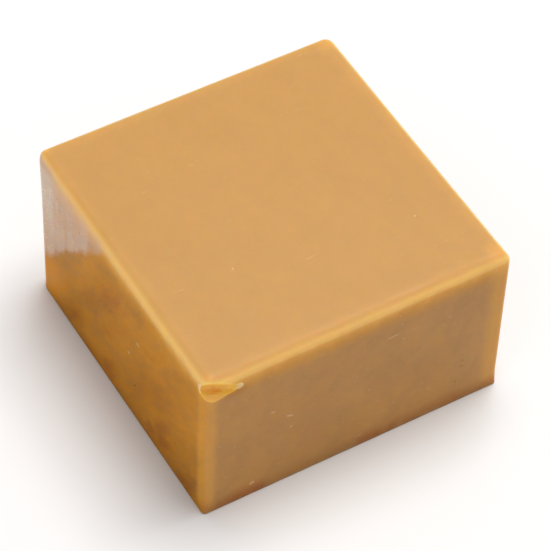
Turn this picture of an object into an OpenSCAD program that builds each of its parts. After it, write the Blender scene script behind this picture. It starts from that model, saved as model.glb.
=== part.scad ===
// Rosin cake: one square block of cast rosin, as rubbed along the hair of a violin bow.
// The upper and upright edges are rounded, each upright edge by its own amount, the edges of
// the base are crisp, and a small flake has broken from the upper corner at the front left.
// Front is -Y, left is -X. Origin: middle of the face that it rests on. +Z is up.

/* [Block] */
// Width of the block, along X
block_w = 42; // [36:0.5:50]
// Depth of the block, along Y
block_d = 42.5; // [36:0.5:50]
// Height of the block, along Z
block_h = 24.6; // [18:0.1:32]

/* [Edges] */
// Radius of the four upper edges
upper_r = 1.45; // [0.6:0.05:2.4]
// Radius of the upright edge at the front left
front_left_r = 1.35; // [0.5:0.05:3]
// Radius of the upright edge at the front right
front_right_r = 0.8; // [0.5:0.05:3]
// Radius of the upright edge at the back right
back_right_r = 1.45; // [0.5:0.05:3]
// Radius of the upright edge at the back left
back_left_r = 2.1; // [0.5:0.05:3]

/* [Chip] */
// Distance from the corner to the middle of the chip, along the upper front edge
chip_along = 1.9; // [1:0.1:3]
// Distance from the upper face down to the middle of the chip
chip_down = 1.9; // [1:0.1:3]
// Distance from the front face in to the middle of the chip
chip_in = 0.4; // [0.2:0.05:0.8]
// Radius of the hollow that the flake left
chip_r = 5; // [4:0.1:7]
// Depth of the hollow below its middle
chip_depth = 0.4; // [0.2:0.05:0.8]
// Turn of the chip from facing forwards to facing left, in degrees
chip_turn = 13; // [0:1:45]
// Upward tilt of the chip, in degrees
chip_tilt = 12; // [0:1:40]

/* [Hidden] */

// Facets of the round shapes, for a smooth preview
$fn = 96;

// How far a cutting shape runs past the surface that it cuts
overrun = 1;

// The upright edges: X and Y side of the block, and radius
upright_edges = [
    [-1, -1, front_left_r],
    [1, -1, front_right_r],
    [1, 1, back_right_r],
    [-1, 1, back_left_r]
];

// Way out of the chip
chip_out = [
    -sin(chip_turn) * cos(chip_tilt),
    -cos(chip_turn) * cos(chip_tilt),
    sin(chip_tilt)
];

// What is cut from a square corner to round it by r, with the arc's centre at the origin
module rounding(r) {
    difference() {
        square(r + overrun);
        circle(r);
    }
}

// A rounding turned towards the corner on the given sides and moved into it
module rounding_at(side_x, side_y, half_x, half_y, r) {
    translate([side_x * (half_x - r), side_y * (half_y - r)])
        mirror([side_x < 0 ? 1 : 0, 0])
            mirror([0, side_y < 0 ? 1 : 0])
                rounding(r);
}

// The block seen from above
module plan() {
    difference() {
        square([block_w, block_d], center = true);
        for (edge = upright_edges)
            rounding_at(edge[0], edge[1], block_w / 2, block_d / 2, edge[2]);
    }
}

// The block seen from one side, of the given width, standing on the X axis
module elevation(width) {
    translate([0, block_h / 2])
        difference() {
            square([width, block_h], center = true);
            for (side = [-1, 1])
                rounding_at(side, 1, width / 2, block_h / 2, upper_r);
        }
}

// An elevation drawn out by the given length, from front to back
module drawn_out(width, length) {
    rotate([90, 0, 0])
        linear_extrude(length, center = true)
            elevation(width);
}

// The hollow left by the flake, a ball that bites into the corner
module chip_hollow() {
    middle = [chip_along - block_w / 2, chip_in - block_d / 2, block_h - chip_down];
    translate(middle + (chip_r - chip_depth) * chip_out)
        sphere(chip_r);
}

// The whole cake is one casting
module rosin_block() {
    color([0.70, 0.38, 0.13])
        difference() {
            intersection() {
                linear_extrude(block_h)
                    plan();
                drawn_out(block_w, block_d + 2 * overrun);
                rotate(90)
                    drawn_out(block_d, block_w + 2 * overrun);
            }
            chip_hollow();
        }
}

rosin_block();
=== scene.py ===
"""The looks of a cast rosin cake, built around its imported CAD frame.

The block is one piece. Its surface is swept from an edge profile, given the slight waves of a
casting, and then chipped by bowl-shaped cutters. Front is -Y, left is -X and +Z is up. Lengths
are in metres, except where a comment says mm.
"""

import math

import bmesh
import bpy
from mathutils import Matrix, Vector, noise


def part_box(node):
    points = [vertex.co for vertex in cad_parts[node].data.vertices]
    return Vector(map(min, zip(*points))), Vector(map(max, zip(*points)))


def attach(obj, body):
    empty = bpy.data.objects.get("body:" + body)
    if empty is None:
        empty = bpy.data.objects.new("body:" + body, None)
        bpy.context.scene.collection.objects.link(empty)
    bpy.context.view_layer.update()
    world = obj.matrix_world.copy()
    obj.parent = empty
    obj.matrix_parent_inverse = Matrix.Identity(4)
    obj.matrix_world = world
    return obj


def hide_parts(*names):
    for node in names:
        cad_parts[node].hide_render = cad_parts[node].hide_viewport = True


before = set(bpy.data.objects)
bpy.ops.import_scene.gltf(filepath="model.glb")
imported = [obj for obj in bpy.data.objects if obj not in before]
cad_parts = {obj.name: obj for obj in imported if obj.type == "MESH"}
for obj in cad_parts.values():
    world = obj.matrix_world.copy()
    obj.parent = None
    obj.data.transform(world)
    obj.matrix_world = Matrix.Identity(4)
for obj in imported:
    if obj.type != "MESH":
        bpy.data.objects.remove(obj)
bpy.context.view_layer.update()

MM = 0.001
NODE = "rosin_block"
LOW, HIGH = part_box(NODE)
WIDTH, DEPTH, HEIGHT = HIGH - LOW
MIDDLE = (LOW + HIGH) / 2

# The sides of the block, in mm
LEFT = LOW.x / MM
FRONT = LOW.y / MM
BACK = HIGH.y / MM
TOP = HIGH.z / MM

# ---------------------------------------------------------------- sizes of the block

UPPER_RADIUS = 1.45 * MM  # of the upper edges, as in the CAD
BASE_RADIUS = 0.15 * MM  # of the edges of the base
CELL = 0.55 * MM  # usual size of a face on the flat sides
EDGE_STEPS = 12  # faces across a rounded edge
BASE_STEPS = 3  # and across an edge of the base
# Faces along the flat part of the front and back, and of the left and right
SIDE_CELLS = [round((side - 2 * UPPER_RADIUS) / CELL) for side in (WIDTH, DEPTH)]
WELD = MM / 1000  # points closer than this are one

# Upright edges, counter-clockwise from the front left: radius at the base, halfway and at the top
UPRIGHT_RADII = [
    (0.55 * MM, 1.37 * MM, 1.37 * MM),
    (0.45 * MM, 0.80 * MM, 0.80 * MM),
    (1.10 * MM, 1.45 * MM, 1.30 * MM),
    (2.15 * MM, 2.10 * MM, 1.85 * MM),
]
SHARPENING = (1, 1, 1, 2.4)  # how soon each of them turns sharp through the upper edge
FADE_HEIGHT = 3 * MM  # over which an upright edge changes at its base
TOP_FADE_HEIGHT = 7 * MM  # and at its top

# Slow waves left by the casting: the deepest they reach, their length and their place in the noise
WAVE_DEPTH = 0.035 * MM
WAVE_LENGTH = 11 * MM
WAVE_SHIFT = 3.7
# Ripples from drawing the block out of its mould, much longer upwards than across
RIPPLE_DEPTH = 0.012 * MM
RIPPLE_LENGTH = 2.6 * MM
RIPPLE_SHIFT = 8.1
RIPPLE_STRETCH = 9
OCTAVES = (1.0, 2.0, 2)  # how the noise of both is built up: fall-off, step and number


def spaced(low, high, step):
    """Evenly spaced values from low to high, about a step apart, both ends included."""
    count = max(1, round((high - low) / step))
    return [low + (high - low) * i / count for i in range(count + 1)]


def smooth(value, low, high):
    """0 below low, 1 above high, and an even S between them."""
    t = min(1, max(0, (value - low) / (high - low)))
    return t * t * (3 - 2 * t)


def edge_profile():
    """The section of a side as (inset from the side, height), from the top to the base."""
    shoulder = HIGH.z - UPPER_RADIUS
    points = []
    for i in range(EDGE_STEPS + 1):
        turn = math.pi / 2 * i / EDGE_STEPS
        inset = UPPER_RADIUS * (1 - math.sin(turn))
        points.append((inset, shoulder + UPPER_RADIUS * math.cos(turn)))
    points += [(0, z) for z in reversed(spaced(LOW.z + BASE_RADIUS, shoulder, CELL)[:-1])]
    for i in range(1, BASE_STEPS + 1):
        turn = math.pi / 2 * i / BASE_STEPS
        inset = BASE_RADIUS * (1 - math.cos(turn))
        points.append((inset, LOW.z + BASE_RADIUS * (1 - math.sin(turn))))
    points += [(inset, LOW.z) for inset in spaced(BASE_RADIUS, UPPER_RADIUS, CELL)[1:]]
    return points


def corner_radius(index, inset, z):
    """Radius of an upright edge at a height, fading to a sharp corner where a cap begins."""
    at_base, usual, at_top = UPRIGHT_RADII[index]
    radius = at_base + (usual - at_base) * smooth(z - LOW.z, 0, FADE_HEIGHT)
    radius += (at_top - usual) * smooth(z - HIGH.z, -TOP_FADE_HEIGHT, -UPPER_RADIUS)
    return radius * max(0, 1 - inset / UPPER_RADIUS) ** SHARPENING[index]


def ring(inset, z):
    """One closed ring round the block, counter-clockwise from above, starting at the front left."""
    half = Vector((WIDTH / 2 - inset, DEPTH / 2 - inset))
    signs = [(-1, -1), (1, -1), (1, 1), (-1, 1)]
    radii = [corner_radius(i, inset, z) for i in range(4)]
    centres = [
        Vector((MIDDLE.x + sx * (half.x - r), MIDDLE.y + sy * (half.y - r)))
        for (sx, sy), r in zip(signs, radii)
    ]
    points = []
    for i in range(4):
        start = 180 + 90 * i
        for j in range(EDGE_STEPS + 1):
            turn = math.radians(start + 90 * j / EDGE_STEPS)
            points.append(centres[i] + radii[i] * Vector((math.cos(turn), math.sin(turn))))
        first = points[-1]
        turn = math.radians(start + 90)
        after = (i + 1) % 4
        last = centres[after] + radii[after] * Vector((math.cos(turn), math.sin(turn)))
        cells = SIDE_CELLS[i % 2]
        points += [first.lerp(last, k / cells) for k in range(1, cells)]
    return [Vector((p.x, p.y, z)) for p in points]


def add_grid(mesh, rows, closed=False):
    """Quads between rows of points, each row as long as the next."""
    verts = [[mesh.verts.new(p) for p in row] for row in rows]
    span = len(rows[0])
    for upper, lower in zip(verts, verts[1:]):
        for i in range(span if closed else span - 1):
            j = (i + 1) % span
            mesh.faces.new((upper[i], lower[i], lower[j], upper[j]))


def cap(z):
    """A grid of points across the flat middle of the top or the base."""
    xs, ys = (
        [mid + (2 * i / cells - 1) * (side / 2 - UPPER_RADIUS) for i in range(cells + 1)]
        for mid, side, cells in zip(MIDDLE, (WIDTH, DEPTH), SIDE_CELLS)
    )
    return [[Vector((x, y, z)) for x in xs] for y in ys]


def block_mesh():
    """The whole closed surface of the block before it is chipped."""
    mesh = bmesh.new()
    add_grid(mesh, [ring(inset, z) for inset, z in edge_profile()], closed=True)
    add_grid(mesh, cap(HIGH.z))
    add_grid(mesh, cap(LOW.z))
    bmesh.ops.remove_doubles(mesh, verts=mesh.verts, dist=WELD)
    bmesh.ops.recalc_face_normals(mesh, faces=mesh.faces)
    return mesh


def wave(point, length, shift):
    """Smooth noise from 0 to 1 whose bumps are about a length apart."""
    value = noise.fractal(point / length + Vector((shift, 0, 0)), *OCTAVES)
    return min(1, max(0, 0.5 + 0.5 * value))


def weather(mesh):
    """Sinks each point a little, so that no side is perfectly flat. The base stays flat."""
    mesh.normal_update()
    moves = []
    for vert in mesh.verts:
        point, normal = vert.co, vert.normal
        on_base = point.z < LOW.z + 2 * BASE_RADIUS
        sink = 0 if on_base else WAVE_DEPTH * wave(point, WAVE_LENGTH, WAVE_SHIFT)
        upright = 0 if on_base else 1 - abs(normal.z)
        across = Vector((point.x, point.y, point.z / RIPPLE_STRETCH))
        sink += upright * RIPPLE_DEPTH * wave(across, RIPPLE_LENGTH, RIPPLE_SHIFT)
        moves.append(normal * -sink)
    for vert, move in zip(mesh.verts, moves):
        vert.co += move


# ---------------------------------------------------------------- chips

ORIGIN = Vector((0, 0, 0))
CORNER = Vector((LOW.x, LOW.y, HIGH.z))  # the upper corner where the large chip is

# For each kind of broken surface, the point that its chips are measured from, and the chips in mm:
# middle, way out of the block, way along, half-length, half-width and depth
CHIPS = {
    # a long flake that starts at the corner and runs out along the front edge
    "fresh": (CORNER, [
        ((1.55, 0.49, -1.85), (-0.242, -0.951, 0.191), (0.940, -0.278, -0.197), 5.20, 0.95, 0.55),
    ]),
    # its worn lip, where a highlight is painted
    "lip": (CORNER, [
        ((1.45, 0.52, -1.86), (-0.242, -0.951, 0.191), (0.940, -0.278, -0.197), 5.50, 0.99, 0.27),
    ]),
    # a nick at each end of it, where a glint is painted
    "pale": (ORIGIN, [
        ((-16.4, FRONT, 22.1), (0, -0.95, 0.3), (1, 0, 0.1), 0.46, 0.48, 0.13),
        ((LEFT, FRONT + 1.25, 22.70), (-0.95, -0.2, 0.25), (0, -0.2, -1), 1.05, 0.46, 0.12),
    ]),
    # scuffs on the front, the left side and the top
    "dusty": (ORIGIN, [
        ((-11.7, FRONT, 14.4), (0, -1, 0), (1, 0, -0.3), 0.55, 0.22, 0.05),
        ((-9.3, FRONT, 12.3), (0, -1, 0), (1, 0, -0.5), 0.75, 0.20, 0.05),
        ((-9.1, FRONT, 10.1), (0, -1, 0), (1, 0, 0.4), 0.40, 0.20, 0.04),
        ((4.5, FRONT, 18.8), (0, -1, 0), (1, 0, 0.1), 1.10, 0.16, 0.05),
        ((-14.3, FRONT, 2.2), (0, -1, 0), (1, 0, 0.2), 0.50, 0.35, 0.05),
        ((LEFT, -5.0, 15.0), (-1, 0, 0), (0, 1, 0.6), 0.40, 0.25, 0.05),
        ((LEFT, -2.7, 11.1), (-1, 0, 0), (0, 1, -0.4), 0.45, 0.22, 0.05),
        ((14.0, -10.4, TOP), (0, 0, 1), (1, 0.4, 0), 0.30, 0.22, 0.05),
        ((-9.3, -7.1, TOP), (0, 0, 1), (0.2, 1, 0), 0.28, 0.20, 0.05),
    ]),
}

BOWL_FACES = (40, 72)  # rings and spokes of a cutter's bowl
SMALL_BOWL_FACES = (10, 28)  # and of a small one
SMALL_BOWL = 1.2 * MM  # half-length up to which a bowl is small
BOWL_REACH = 2.6  # how far a cutter's bowl runs on, in half-lengths, to clear the block
LID_RISE = 1.3  # height of the point that closes a cutter, over that of its rim, roughly
FIRST_SEED = 1.5  # place of the first bowl in the noise; each one after it is 1 further on

# How a bowl differs from a smooth one; depths are shares of its own depth
SWELL = 0.18  # how far its outline swells or shrinks
SWELL_TURNS = 1.7  # how often it does so on the way round
RIPPLES = 5.5  # concentric ripples between the middle and the rim
RIPPLE_SHARE = 0.05  # and their depth
ROUGH_LENGTH = 0.9 * MM  # size of the bumps on it
ROUGH_SHARE = 0.16  # and their depth


def bowl(middle, outward, along, half_length, half_width, depth, seed):
    """A closed cutter whose underside is a rippled bowl, as a flake of brittle resin leaves."""
    ring_count, spokes = BOWL_FACES if half_length > SMALL_BOWL else SMALL_BOWL_FACES
    outward = outward.normalized()
    along = (along - outward * along.dot(outward)).normalized()
    across = outward.cross(along)
    mesh = bmesh.new()
    verts = []
    for i in range(1, ring_count + 1):
        reach = BOWL_REACH * i / ring_count
        row = []
        for j in range(spokes):
            turn = 2 * math.pi * j / spokes
            flat = along * (half_length * math.cos(turn)) + across * (half_width * math.sin(turn))
            rough = noise.noise(flat * reach / ROUGH_LENGTH + Vector((seed, 0, 0)))
            around = Vector((math.cos(turn), math.sin(turn), seed)) * SWELL_TURNS
            swell = 1 + SWELL * noise.noise(around)
            lift = depth * ((reach * swell) ** 2 - 1)
            lift += depth * RIPPLE_SHARE * math.sin(2 * math.pi * RIPPLES * reach) * min(1, reach)
            lift += depth * ROUGH_SHARE * rough
            row.append(mesh.verts.new(middle + flat * reach + outward * lift))
        verts.append(row)
    bottom = mesh.verts.new(middle - outward * depth)
    lid = mesh.verts.new(middle + outward * depth * BOWL_REACH ** 2 * LID_RISE)
    for j in range(spokes):
        k = (j + 1) % spokes
        mesh.faces.new((bottom, verts[0][j], verts[0][k]))
        mesh.faces.new((lid, verts[-1][k], verts[-1][j]))
        for inner, outer in zip(verts, verts[1:]):
            mesh.faces.new((inner[j], outer[j], outer[k], inner[k]))
    bmesh.ops.recalc_face_normals(mesh, faces=mesh.faces)
    return mesh


def new_object(name, mesh, materials=()):
    """An object from a bmesh, which is freed."""
    data = bpy.data.meshes.new(name)
    mesh.to_mesh(data)
    mesh.free()
    for material in materials:
        data.materials.append(material)
    piece = bpy.data.objects.new(name, data)
    bpy.context.scene.collection.objects.link(piece)
    return piece


def chip_cutters():
    """A cutter for each chip. Its material says which kind of surface it leaves."""
    cutters = []
    for kind, (start, chips) in CHIPS.items():
        mark = bpy.data.materials.new(kind)
        for middle, outward, along, half_length, half_width, depth in chips:
            shape = bowl(
                start + Vector(middle) * MM, Vector(outward), Vector(along),
                half_length * MM, half_width * MM, depth * MM, seed=FIRST_SEED + len(cutters),
            )
            cutters.append(new_object(f"cutter_{len(cutters)}", shape, [mark]))
    return cutters


def cut(piece, cutters):
    """Takes each cutter out of the piece, marks the faces of each kind, and removes the cutters."""
    for cutter in cutters:
        modifier = piece.modifiers.new("chip", "BOOLEAN")
        modifier.operation = "DIFFERENCE"
        modifier.solver = "EXACT"
        modifier.object = cutter
        modifier.material_mode = "TRANSFER"
    bpy.context.view_layer.update()
    depsgraph = bpy.context.evaluated_depsgraph_get()
    chipped = bpy.data.meshes.new_from_object(piece.evaluated_get(depsgraph))
    piece.modifiers.clear()
    piece.data = chipped
    slots = [face.material_index for face in chipped.polygons]
    for index, kind in enumerate(CHIPS, 1):
        mark = chipped.attributes.new(kind, "FLOAT", "FACE")
        mark.data.foreach_set("value", [float(slot == index) for slot in slots])
    for face in chipped.polygons:
        face.material_index = 0
    while len(chipped.materials) > 1:
        chipped.materials.pop()
    for cutter in cutters:
        bpy.data.objects.remove(cutter)


# ---------------------------------------------------------------- nodes

SLANT = math.radians(45)  # of the flow lines in the resin, from level
DRAWN_OUT = 1.9  # how much longer than wide they are
NOISE_REACH = 0.2  # how far from 0.5 noise goes before it counts as fully high or low


def slanted_place(place):
    """A place in mm as Nodes.slanted gives it."""
    x, y, z = Matrix.Rotation(-SLANT, 3, "X") @ Vector(place)
    return x, y, z / DRAWN_OUT


def rgba(colour):
    """A colour as four numbers; a socket stays a socket."""
    return colour if isinstance(colour, bpy.types.NodeSocket) else (*colour, 1)


class Nodes:
    """Short ways of adding nodes to a material and joining them up."""

    def __init__(self, material):
        self.tree = material.node_tree

    def join(self, value, socket):
        if isinstance(value, bpy.types.NodeSocket):
            self.tree.links.new(value, socket)
        else:
            socket.default_value = value

    def add(self, kind, **settings):
        node = self.tree.nodes.new(kind)
        for name, value in settings.items():
            setattr(node, name, value)
        return node

    def math(self, operation, first, second=0.0):
        node = self.add("ShaderNodeMath", operation=operation)
        self.join(first, node.inputs[0])
        self.join(second, node.inputs[1])
        return node.outputs[0]

    def chain(self, operation, values):
        out = values[0]
        for value in values[1:]:
            out = self.math(operation, out, value)
        return out

    def lowest(self, *values):
        return self.chain("MINIMUM", values)

    def highest(self, *values):
        return self.chain("MAXIMUM", values)

    def times(self, *values):
        return self.chain("MULTIPLY", values)

    def plus(self, *values):
        return self.chain("ADD", values)

    def less(self, value, other):
        return self.math("SUBTRACT", value, other)

    def without(self, share):
        """The rest of a share."""
        return self.less(1.0, share)

    def share(self, amount, at_none, at_full):
        """A straight line from one number where the amount is 0 to another where it is 1."""
        return self.plus(self.times(amount, at_full - at_none), at_none)

    def between(self, value, low, high, at_low=0.0, at_high=1.0):
        """An S from one number at low to another at high."""
        node = self.add("ShaderNodeMapRange", interpolation_type="SMOOTHSTEP")
        self.join(value, node.inputs["Value"])
        node.inputs["From Min"].default_value = low
        node.inputs["From Max"].default_value = high
        node.inputs["To Min"].default_value = at_low
        node.inputs["To Max"].default_value = at_high
        return node.outputs["Result"]

    def swing(self, value, amount, reach=NOISE_REACH):
        """Noise about 0.5 turned into a number from minus the amount to the amount."""
        return self.between(value, 0.5 - reach, 0.5 + reach, -amount, amount)

    def scaled(self, vector, amount):
        node = self.add("ShaderNodeVectorMath", operation="SCALE")
        self.join(vector, node.inputs[0])
        self.join(amount, node.inputs["Scale"])
        return node.outputs[0]

    def squeezed(self, vector, amounts):
        """The vector with each of its parts multiplied by an amount of its own."""
        node = self.add("ShaderNodeVectorMath", operation="MULTIPLY")
        self.join(vector, node.inputs[0])
        self.join(amounts, node.inputs[1])
        return node.outputs[0]

    def distance(self, vector, place):
        node = self.add("ShaderNodeVectorMath", operation="DISTANCE")
        self.join(vector, node.inputs[0])
        self.join(place, node.inputs[1])
        return node.outputs["Value"]

    def slanted(self, point):
        """The point in a frame turned about the x axis, in which things are drawn out on a slant."""
        turned = self.add("ShaderNodeVectorRotate", rotation_type="X_AXIS")
        self.join(point, turned.inputs["Vector"])
        turned.inputs["Angle"].default_value = -SLANT
        return self.squeezed(turned.outputs[0], (1.0, 1.0, 1 / DRAWN_OUT))

    def parts(self, vector):
        node = self.add("ShaderNodeSeparateXYZ")
        self.join(vector, node.inputs[0])
        return node.outputs

    def noise(self, vector, length, detail=2.0, roughness=0.5, twist=0.0):
        """Noise about 0.5 whose features are about a length in size, in mm."""
        node = self.add("ShaderNodeTexNoise")
        self.join(vector, node.inputs["Vector"])
        node.inputs["Scale"].default_value = 1 / length
        node.inputs["Detail"].default_value = detail
        node.inputs["Roughness"].default_value = roughness
        node.inputs["Distortion"].default_value = twist
        return node.outputs["Fac"]

    def mix(self, amount, first, second):
        """Goes from the first colour to the second."""
        node = self.add("ShaderNodeMix", data_type="RGBA")
        self.join(amount, node.inputs[0])
        self.join(rgba(first), node.inputs[6])
        self.join(rgba(second), node.inputs[7])
        return node.outputs[2]


# ---------------------------------------------------------------- rosin

# Colours of the rosin, linear. Several of them also paint light and shade, as said beside them.
TOP_COLOUR = (0.600, 0.318, 0.083)
FRONT_COLOUR = (0.515, 0.245, 0.050)
# partly the resin's own colour and partly painted light: redder and more saturated than the front
LEFT_COLOUR = (0.590, 0.228, 0.008)
BASE_COLOUR = (0.500, 0.220, 0.045)
DEEP_AND_SHADE_COLOUR = (0.390, 0.110, 0.001)  # blotches where the resin is clear and dark; also painted shade along the base edge and below the chip
RIM_HIGHLIGHT_COLOUR = (0.930, 0.620, 0.220)  # painted highlight along the upper edges
UNDER_LIGHT_COLOUR = (0.880, 0.400, 0.058)  # painted light on the sides just below them
UPRIGHT_HIGHLIGHT_COLOUR = (0.860, 0.460, 0.110)  # painted highlight and glow along the upright edges
DUST_COLOUR = (0.800, 0.600, 0.360)  # powdered resin in scuffs
FRESH_COLOUR = (0.960, 0.530, 0.050)  # inside the chip
LIP_HIGHLIGHT_COLOUR = (0.960, 0.570, 0.150)  # painted highlight on the worn lip of the chip
NICK_GLINT_COLOUR = (1.000, 0.660, 0.320)  # painted glint in the nicks beside it
GLOW_COLOUR = (0.800, 0.280, 0.003)  # where light comes through the back left edge
PAINTED_REFLECTION_COLOUR = (0.700, 0.500, 0.330)  # painted reflection on the upper back of the left side

# The material works in mm. A pair of distances below says where something is still at nothing,
# and where it is full.
FACING = (0.55, 0.93)  # part of the normal along a side's own way out, for a point to be on it
EDGE_WANDER = 1.6  # how far the bands along the edges wander, in mm

# How much lighter and darker each size of cloud makes the resin
BILLOW_LIGHT = 0.05
CLOUD_LIGHT = 0.05
MOTTLE_LIGHT = 0.025
GRAIN_LIGHT = 0.02
TOP_CLOUDINESS = 0.28  # of these on the top, where the front has 1
LEFT_CLOUDINESS = 1.9  # and on the left side
FRESH_CLOUDINESS = 2.0  # and inside the chip

# Blotches on the left side in mm: along y, height, radius, strength
BLOTCHES = [
    (11.2, 3.6, 2.0, 0.75),
    (2.7, 2.1, 2.4, 0.8),
    (-10.7, 5.2, 2.0, 0.7),
    (-11.6, 3.2, 2.2, 0.8),
    (2.0, 16.2, 3.0, 0.6),
    (-8.0, 2.2, 1.5, 0.9),
    (7.0, 11.0, 2.6, 0.35),
    (-17.0, 1.8, 2.0, 0.6),
    (-9.5, 10.5, 6.5, 0.32),
]
BLOTCH_EDGE = 1.25  # how far out a blotch fades to nothing, in radii
BLOTCH_BEND = (3.0, 2.0)  # how far its outline follows the cloud and the mottle
FAINT_FROM = (0.50, 0.75)  # levels of the cloud from which it has faint blotches of its own
FAINT_STRENGTH = 0.35
BLOTCHES_ELSEWHERE = 0.15  # strength of all blotches off the left side, where 1 is usual
BASE_SHADE_BAND = (3.0, 0.2)  # distances from the base edge of its band of painted shade
BASE_SHADE_STRENGTH = (0.15, 0.55)  # where the billows are dark, and where they are light
BASE_SHADE_ELSEWHERE = 1.5  # strength of the painted shade off the left side, where 1 is usual

LOW_SHADE_HEIGHTS = (17.0, 7.0)  # heights over which painted shade makes the block a little darker downwards
LOW_SHADE_LEFT = 0.17  # how much darker on the left side
LOW_SHADE_ELSEWHERE = 0.01

UPPER_HIGHLIGHT_BAND = (2.6, 0.7)  # distances from the upper edges of their band of painted highlight
UNDER_LIGHT_BAND = (4.4, 0.9)  # and of the painted light below them
UNDER_LIGHT_STRENGTH = 0.58
UPRIGHT_HIGHLIGHT_BAND = (2.2, 0.95)  # distances from an upright edge of its band of painted highlight and glow
UPRIGHT_HIGHLIGHT_STRENGTH = 0.38
RIGHT_SHARE = 0.62  # distances from the right upright edges are cut to this, for wider bands of painted glow there

CHIP_SHADE = (-17.0, FRONT, 21.5)  # the middle of the painted shade, a dark streak below the chip
CHIP_SHADE_SQUEEZE = (0.45, 1.0, 1.0)  # makes the streak longer than it is high
CHIP_SHADE_REACH = (1.2, 0.2)
CHIP_SHADE_STRENGTH = 0.4

GLOW = (LEFT, BACK - 2.5, 3.5)  # the middle of the light through the back left edge
GLOW_REACH = (5.0, 1.0)
GLOW_STRENGTH = 0.7

PATCH_LINE = 26.7  # the patch of painted reflection on the left side is where y + z is above this
PATCH_SOFTNESS = 0.9  # on either side of the line
PATCH_BEND = (3.0, 2.0)  # how far the line follows the cloud and the streaks
REFLECTION_STRENGTH = 0.42  # of the patch, before the upper back corner makes it stronger
UPPER_BACK_Y = (14.0, 20.0)
UPPER_BACK_Z = (11.0, 20.0)
STREAK_SQUEEZE = (1.0, 1.0, 0.08)  # makes the patch's streaks run upright
STREAK_GAP_STRENGTH = 0.45  # of the patch between its streaks

SCRATCH_SQUEEZE = (0.5, 2.2, 2.2)  # makes scratches run along x
SCRATCH_FROM = (0.66, 0.74)  # levels of the noise from which there is a scratch
SCUFFED_FROM = (0.52, 0.68)  # and a part of the surface that is scratched at all
SPECK_FROM = (0.74, 0.82)  # and a speck
SPECK_STRENGTH = 0.6
SCRATCH_DUST = 0.22  # how much powder the scratches hold
SPECK_DUST = 0.5  # and the specks
SPECK_DUST_TOP = 0.25  # and those on the top

LIP_HIGHLIGHT_STRENGTH = 0.85
NICK_GLINT_STRENGTH = 0.9
DUSTY_STRENGTH = 0.45

CLOUD_ROUGHNESS = (0.30, 0.40)  # where the cloud is dark, and where it is light
MOTTLE_ROUGHNESS = 0.03  # how much the mottle adds or takes
TOP_DULLER = 0.10  # what is added to the roughness on the top
RIM_DULLER = 0.22
DUST_DULLER = 0.5
FRESH_GLOSSIER = 0.12  # and what is taken from it inside the chip
PATCH_GLOSSIER = 0.10

SHINE = 0.4  # specular level of the plain surface
LEFT_SHINE_LOSS = 0.37
FRONT_SHINE_LOSS = 0.15
PATCH_SHINE_GAIN = 0.48
CURVE_SHINE_LOSS = 0.15  # on the curve of the upper front edge
RIM_SHINE_LOSS = 0.34
FRESH_SHINE = 0.5  # the least inside the chip

# How high each pattern stands in the fine relief
CLOUD_RELIEF = 0.30
MOTTLE_RELIEF = 0.22
GRAIN_RELIEF = 0.10
SCUFF_RELIEF = -0.08
SPECK_RELIEF = 0.10


class Place:
    """Where a point of the surface is on the block, and which way it faces."""

    def __init__(self, n):
        coords = n.add("ShaderNodeTexCoord")
        self.point = n.scaled(coords.outputs["Object"], 1 / MM)
        self.x, self.y, self.z = n.parts(self.point)
        self.nx, self.ny, self.nz = n.parts(coords.outputs["Normal"])
        self.on_top = self.facing(n, self.nz, 1)
        self.on_left = self.facing(n, self.nx, -1)
        self.on_front = self.facing(n, self.ny, -1)
        self.on_base = self.facing(n, self.nz, -1)

        in_x = n.less(WIDTH / MM / 2, n.math("ABSOLUTE", self.x))
        in_y = n.less(DEPTH / MM / 2, n.math("ABSOLUTE", self.y))
        below_top = n.less(HEIGHT / MM, self.z)
        wander = n.noise(self.point, 2.2, detail=3.0, roughness=0.6)
        shift = n.times(n.less(wander, 0.5), EDGE_WANDER)
        nearest = n.lowest(in_x, in_y)
        self.to_upper_edge = n.plus(n.highest(below_top, nearest), shift)
        self.to_base_edge = n.plus(n.highest(self.z, nearest), shift)
        self.to_upright = n.plus(n.highest(in_x, in_y), n.times(shift, 0.5))

    @staticmethod
    def facing(n, part, sign):
        low, high = FACING
        return n.between(part, sign * low, sign * high)


class Clouds:
    """The cloudy resin, from its widest billows to its finest grain, drawn out on a slant."""

    def __init__(self, n, point):
        self.drawn = n.slanted(point)
        self.billow = n.noise(self.drawn, 9.0, detail=3.0, twist=1.0)
        self.cloud = n.noise(self.drawn, 3.4, detail=4.0, roughness=0.55, twist=0.5)
        self.mottle = n.noise(self.drawn, 1.1, detail=3.0, roughness=0.55)
        self.grain = n.noise(point, 0.28, roughness=0.6)
        self.light = n.plus(
            n.swing(self.billow, BILLOW_LIGHT),
            n.swing(self.cloud, CLOUD_LIGHT),
            n.swing(self.mottle, MOTTLE_LIGHT),
            n.swing(self.grain, GRAIN_LIGHT, reach=0.25),
        )

    def bend(self, n, other, amounts):
        """A length by which the cloud and another noise move an outline."""
        by_cloud, by_other = amounts
        return n.plus(
            n.times(n.less(self.cloud, 0.5), by_cloud), n.times(n.less(other, 0.5), by_other)
        )


def plain_colour(n, at):
    """The colour of each side without its marks. The left side's colour is partly painted light."""
    colour = n.mix(at.on_top, FRONT_COLOUR, TOP_COLOUR)
    colour = n.mix(at.on_left, colour, LEFT_COLOUR)
    return n.mix(at.on_base, colour, BASE_COLOUR)


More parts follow.
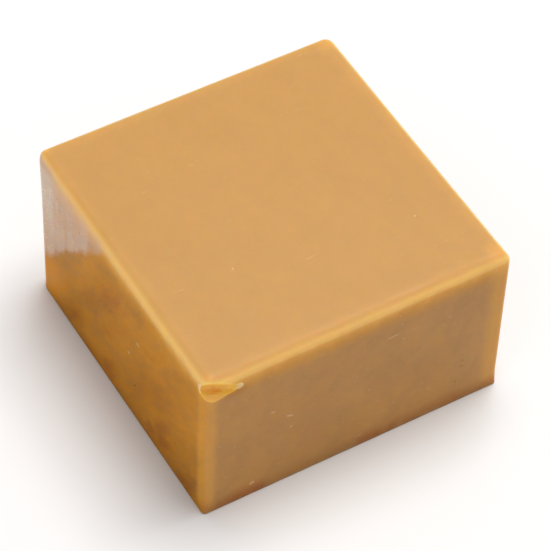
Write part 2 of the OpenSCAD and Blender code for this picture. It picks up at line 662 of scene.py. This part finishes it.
def with_blotches(n, at, clouds, colour):
    """Dark clear blotches, strong on the left side and faint elsewhere, and painted shade in a patchy
    band along the base edge; neither is on the top.
    """
    bent = clouds.bend(n, clouds.mottle, BLOTCH_BEND)
    blotch = n.between(clouds.cloud, *FAINT_FROM, 0.0, FAINT_STRENGTH)
    for along, height, radius, strength in BLOTCHES:
        gap = n.plus(n.distance(clouds.drawn, slanted_place((LEFT, along, height))), bent)
        blotch = n.highest(blotch, n.between(gap, radius * BLOTCH_EDGE, 0.0, 0.0, strength))
    # painted shade in a band along the base edge, broken up by the billows
    patchy = n.between(clouds.billow, 0.42, 0.62, *BASE_SHADE_STRENGTH)
    base_shade = n.times(n.between(at.to_base_edge, *BASE_SHADE_BAND), patchy)
    blotch_and_base_shade = n.highest(
        n.times(blotch, n.share(at.on_left, BLOTCHES_ELSEWHERE, 1.0)),
        n.times(base_shade, n.share(at.on_left, BASE_SHADE_ELSEWHERE, 1.0)),
    )
    return n.mix(n.times(blotch_and_base_shade, n.without(at.on_top)), colour, DEEP_AND_SHADE_COLOUR)


def with_clouds(n, at, clouds, colour):
    """Light and dark clouds, weak on the top and strong on the left side, and painted shade that makes
    it darker low down.
    """
    weaker = n.share(at.on_top, 1.0, TOP_CLOUDINESS)
    stronger = n.share(at.on_left, 1.0, LEFT_CLOUDINESS)
    colour = n.scaled(colour, n.plus(n.times(clouds.light, weaker, stronger), 1.0))
    low_shade = n.times(n.between(at.z, *LOW_SHADE_HEIGHTS), n.share(at.on_left, LOW_SHADE_ELSEWHERE, LOW_SHADE_LEFT))
    return n.scaled(colour, n.without(low_shade))


def with_edge_light(n, at, colour):
    """Painted highlights along the upper and upright edges, and painted light on the sides just below
    the upper edges. Returns the colour and how strong this painted light is.
    """
    upper = n.times(
        n.between(at.to_upper_edge, *UPPER_HIGHLIGHT_BAND),
        n.between(at.nz, 0.998, 0.6, 0.10, 0.88),  # little on the flat top
        n.between(at.nz, 0.0, 0.3, 0.4, 1.0),  # less on the upright sides
        n.between(at.nx, 0.0, -0.3, 0.9, 1.05),  # most towards the left
    )
    under = n.times(
        n.between(at.to_upper_edge, *UNDER_LIGHT_BAND), n.between(at.nz, 0.5, 0.0, 0.0, UNDER_LIGHT_STRENGTH)
    )
    spread = n.times(at.to_upright, n.between(at.x, -5.0, 5.0, 1.0, RIGHT_SHARE))
    upright = n.times(
        n.between(spread, *UPRIGHT_HIGHLIGHT_BAND), n.between(at.z, 0.6, 3.0, 0.3, 1.0), UPRIGHT_HIGHLIGHT_STRENGTH
    )
    colour = n.mix(under, colour, UNDER_LIGHT_COLOUR)
    colour = n.mix(upright, colour, UPRIGHT_HIGHLIGHT_COLOUR)
    colour = n.mix(upper, colour, RIM_HIGHLIGHT_COLOUR)
    return colour, n.highest(upper, under, upright)


def with_chip_shade(n, at, colour):
    """Painted shade in a dark streak below the chip."""
    middle = tuple(a * b for a, b in zip(CHIP_SHADE, CHIP_SHADE_SQUEEZE))
    gap = n.distance(n.squeezed(at.point, CHIP_SHADE_SQUEEZE), middle)
    return n.mix(n.between(gap, *CHIP_SHADE_REACH, 0.0, CHIP_SHADE_STRENGTH), colour, DEEP_AND_SHADE_COLOUR)


def with_glow(n, clouds, colour):
    """Light that comes through the back left edge."""
    gap = n.distance(clouds.drawn, slanted_place(GLOW))
    glow = n.between(gap, *GLOW_REACH, 0.0, GLOW_STRENGTH)
    return n.mix(n.times(glow, n.share(clouds.cloud, 0.7, 1.3)), colour, GLOW_COLOUR)


def with_painted_reflection(n, at, clouds, colour):
    """A painted reflection in a patch on the left side, in upright streaks. Returns the colour and the
    patch.
    """
    streaks = n.noise(n.squeezed(at.point, STREAK_SQUEEZE), 2.3)
    ragged = n.plus(at.y, at.z, clouds.bend(n, streaks, PATCH_BEND))
    low, high = PATCH_LINE - PATCH_SOFTNESS, PATCH_LINE + PATCH_SOFTNESS
    patch = n.times(n.between(ragged, low, high), at.on_left)
    patch = n.times(patch, n.between(streaks, 0.3, 0.62, STREAK_GAP_STRENGTH, 1.0))
    upper_back = n.times(n.between(at.y, *UPPER_BACK_Y), n.between(at.z, *UPPER_BACK_Z))
    painted_reflection = n.times(patch, n.plus(upper_back, REFLECTION_STRENGTH))
    return n.mix(painted_reflection, colour, PAINTED_REFLECTION_COLOUR), patch


def with_dust(n, at, colour):
    """Fine scratches and specks that hold powdered resin. Returns all three with the colour."""
    scratch = n.noise(n.squeezed(at.point, SCRATCH_SQUEEZE), 0.8, twist=0.6)
    scuffed = n.between(n.noise(at.point, 5.5), *SCUFFED_FROM)
    scuff = n.times(n.between(scratch, *SCRATCH_FROM), scuffed)
    spots = n.noise(at.point, 0.5, detail=1.0)
    speck = n.times(n.between(spots, *SPECK_FROM), SPECK_STRENGTH)
    speck_dust = n.between(at.on_top, 0.0, 1.0, SPECK_DUST, SPECK_DUST_TOP)
    dust = n.highest(n.times(scuff, SCRATCH_DUST), n.times(speck, speck_dust))
    return n.mix(dust, colour, DUST_COLOUR), dust, scuff, speck


def with_chips(n, clouds, colour):
    """The broken surfaces that cut() has marked, with a painted highlight on the lip and painted
    glints in the nicks. Returns the colour and where it is fresh.
    """
    fresh, lip, pale, dusty = (
        n.add("ShaderNodeAttribute", attribute_name=kind).outputs["Fac"] for kind in CHIPS
    )
    cloudy = n.scaled(FRESH_COLOUR, n.plus(n.times(clouds.light, FRESH_CLOUDINESS), 1.0))
    colour = n.mix(fresh, colour, cloudy)
    colour = n.mix(n.times(lip, LIP_HIGHLIGHT_STRENGTH), colour, LIP_HIGHLIGHT_COLOUR)
    colour = n.mix(n.times(pale, NICK_GLINT_STRENGTH), colour, NICK_GLINT_COLOUR)
    return n.mix(n.times(dusty, DUSTY_STRENGTH), colour, DUST_COLOUR), fresh


def roughness(n, at, clouds, rim, dust, fresh, patch):
    """Glossier inside the chip and on the patch, duller on the top, the rims and in dust."""
    rough = n.plus(
        n.between(clouds.cloud, 0.5 - NOISE_REACH, 0.5 + NOISE_REACH, *CLOUD_ROUGHNESS),
        n.swing(clouds.mottle, MOTTLE_ROUGHNESS),
        n.times(at.on_top, TOP_DULLER),
        n.times(rim, RIM_DULLER),
        n.times(dust, DUST_DULLER),
    )
    rough = n.less(rough, n.times(fresh, FRESH_GLOSSIER))
    return n.less(rough, n.times(patch, PATCH_GLOSSIER))


def shine(n, at, rim, fresh, patch):
    """Strength of the reflection: weak on the left side outside the patch, on the curve of the upper
    front edge, and on the edges where light is painted.
    """
    level = n.plus(
        n.times(at.on_left, -LEFT_SHINE_LOSS), n.times(at.on_front, -FRONT_SHINE_LOSS), SHINE
    )
    level = n.plus(level, n.times(patch, PATCH_SHINE_GAIN))
    front_curve = n.times(n.between(at.ny, 0.0, -0.15), n.between(at.nz, 0.2, 0.6))
    worn = n.highest(n.times(front_curve, CURVE_SHINE_LOSS), n.times(rim, RIM_SHINE_LOSS))
    level = n.less(level, n.times(worn, n.without(at.on_left)))
    return n.highest(level, n.times(fresh, FRESH_SHINE))


def relief(n, clouds, scuff, speck):
    """Fine relief: the normal that it gives."""
    bump = n.add("ShaderNodeBump")
    bump.inputs["Strength"].default_value = 0.35
    bump.inputs["Distance"].default_value = 0.03 * MM
    height = n.plus(
        n.times(clouds.cloud, CLOUD_RELIEF),
        n.times(clouds.mottle, MOTTLE_RELIEF),
        n.times(clouds.grain, GRAIN_RELIEF),
        n.times(scuff, SCUFF_RELIEF),
        n.times(speck, SPECK_RELIEF),
    )
    n.join(height, bump.inputs["Height"])
    return bump.outputs["Normal"]


def rosin():
    """Cloudy amber resin that light goes a little way into."""
    material = bpy.data.materials.new("rosin")
    material.use_nodes = True
    shader = material.node_tree.nodes["Principled BSDF"]
    n = Nodes(material)
    at = Place(n)
    clouds = Clouds(n, at.point)

    colour = plain_colour(n, at)
    colour = with_blotches(n, at, clouds, colour)
    colour = with_clouds(n, at, clouds, colour)
    colour, rim = with_edge_light(n, at, colour)
    colour = with_chip_shade(n, at, colour)
    colour = with_glow(n, clouds, colour)
    colour, patch = with_painted_reflection(n, at, clouds, colour)
    colour, dust, scuff, speck = with_dust(n, at, colour)
    colour, fresh = with_chips(n, clouds, colour)

    n.join(colour, shader.inputs["Base Color"])
    n.join(roughness(n, at, clouds, rim, dust, fresh, patch), shader.inputs["Roughness"])
    n.join(shine(n, at, rim, fresh, patch), shader.inputs["Specular IOR Level"])
    n.join(relief(n, clouds, scuff, speck), shader.inputs["Normal"])
    shader.inputs["Subsurface Weight"].default_value = 1.0
    shader.inputs["Subsurface Radius"].default_value = (1.0, 0.45, 0.12)
    shader.inputs["Subsurface Scale"].default_value = 2.5 * MM
    shader.inputs["IOR"].default_value = 1.53
    return material


# ---------------------------------------------------------------- the piece

SHARP_ANGLE = 24  # degrees between two faces from which their edge is drawn sharp

body = block_mesh()
weather(body)
block = new_object("rosin_cake", body, [rosin()])
cut(block, chip_cutters())
block.data.shade_smooth()
block.data.set_sharp_from_angle(angle=math.radians(SHARP_ANGLE))
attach(block, "root")
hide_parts(NODE)

# ---------------------------------------------------------------- floor and light

FLOOR_HALF = 3.0
FLOOR_DROP = 0.02 * MM
FLOOR_GREY = 0.92
STUDIO_STRENGTH = 0.37  # of the even light from all round

scene = bpy.context.scene
scene.view_settings.view_transform = "Standard"
scene.view_settings.look = "None"


def add_floor():
    """A plain pale floor, a hair below the block."""
    material = bpy.data.materials.new("floor")
    material.use_nodes = True
    shader = material.node_tree.nodes["Principled BSDF"]
    shader.inputs["Base Color"].default_value = rgba([FLOOR_GREY] * 3)
    shader.inputs["Roughness"].default_value = 0.7
    shader.inputs["Specular IOR Level"].default_value = 0.2
    mesh = bmesh.new()
    bmesh.ops.create_grid(mesh, x_segments=1, y_segments=1, size=FLOOR_HALF)
    floor = new_object("floor", mesh, [material])
    floor.location.z = LOW.z - FLOOR_DROP


def add_studio():
    """Even white light from all round."""
    world = bpy.data.worlds.new("studio")
    world.use_nodes = True
    background = world.node_tree.nodes["Background"]
    background.inputs["Color"].default_value = (1.0, 1.0, 1.0, 1)
    background.inputs["Strength"].default_value = STUDIO_STRENGTH
    scene.world = world


def add_softbox(name, azimuth, elevation, distance, size, power):
    """A square soft light that faces the block; the azimuth is from +X, and both angles in degrees."""
    turn, rise = math.radians(azimuth), math.radians(elevation)
    back = Vector((math.cos(turn) * math.cos(rise), math.sin(turn) * math.cos(rise), math.sin(rise)))
    light = bpy.data.lights.new(name, "AREA")
    light.size = size
    light.energy = power
    lamp = bpy.data.objects.new(name, light)
    lamp.location = MIDDLE + back * distance
    lamp.rotation_euler = back.to_track_quat("Z", "Y").to_euler()
    scene.collection.objects.link(lamp)


add_floor()
add_studio()
add_softbox("key", azimuth=20, elevation=74, distance=0.9, size=0.60, power=6.8)
add_softbox("fill", azimuth=205, elevation=40, distance=1.2, size=0.90, power=1.2)

# ---------------------------------------------------------------- camera

# The view, in degrees: down on the block from the front left, eight to nine widths away
VIEW_AZIMUTH = -32.277
VIEW_ELEVATION = 49.585
VIEW_ROLL = 2.604
VIEW_DISTANCE = 8.643 * WIDTH
AIM = MIDDLE + Vector((0.00373, -0.03798, 0)) * WIDTH
LENS_MM = 192.70


def add_camera():
    turn, rise, roll = (math.radians(a) for a in (VIEW_AZIMUTH, VIEW_ELEVATION, VIEW_ROLL))
    back = Vector((math.sin(turn) * math.cos(rise), -math.cos(turn) * math.cos(rise), math.sin(rise)))
    level = Vector((math.cos(turn), math.sin(turn), 0))
    upward = back.cross(level)
    right = level * math.cos(roll) + upward * math.sin(roll)
    up = back.cross(right)
    data = bpy.data.cameras.new("camera")
    data.lens = LENS_MM
    data.clip_start = 0.01
    data.clip_end = 20
    camera = bpy.data.objects.new("camera", data)
    turned = Matrix((right, up, back)).transposed().to_4x4()
    camera.matrix_world = Matrix.Translation(AIM + back * VIEW_DISTANCE) @ turned
    scene.collection.objects.link(camera)
    scene.camera = camera


add_camera()
